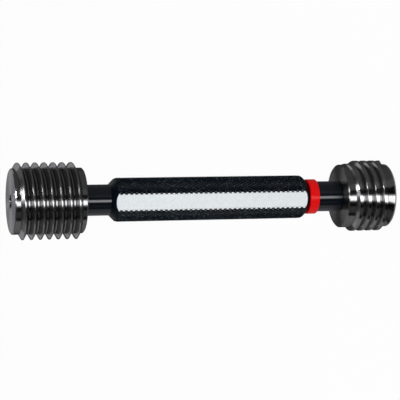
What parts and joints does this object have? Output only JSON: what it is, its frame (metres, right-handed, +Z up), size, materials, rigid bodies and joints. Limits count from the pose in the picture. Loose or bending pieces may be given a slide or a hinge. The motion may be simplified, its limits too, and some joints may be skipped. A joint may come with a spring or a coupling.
{
  "type": "thread plug gauge",
  "caption": "Double-ended thread plug gauge: a longer go member and a shorter no-go member on a slim knurled handle with a bare flat and a red ring on the no-go side.",
  "frame": {"origin": "centre of the no-go member's end face, on which the gauge stands", "axes": "+Z up along the gauge's axis, from the no-go end to the go end; -Y out of the handle's marking flat; +X to the right of someone who faces the flat"},
  "size_m": [0.03, 0.03, 0.1548],
  "materials": {
    "ground_steel": "hardened and ground",
    "black_handle": "black oxide, with the flat milled bare",
    "red_ring": "glossy"
  },
  "bodies": {
    "root": {"go_member": "ground_steel", "no_go_member": "ground_steel", "handle": "black_handle", "no_go_ring": "red_ring"}
  },
  "joints": []
}
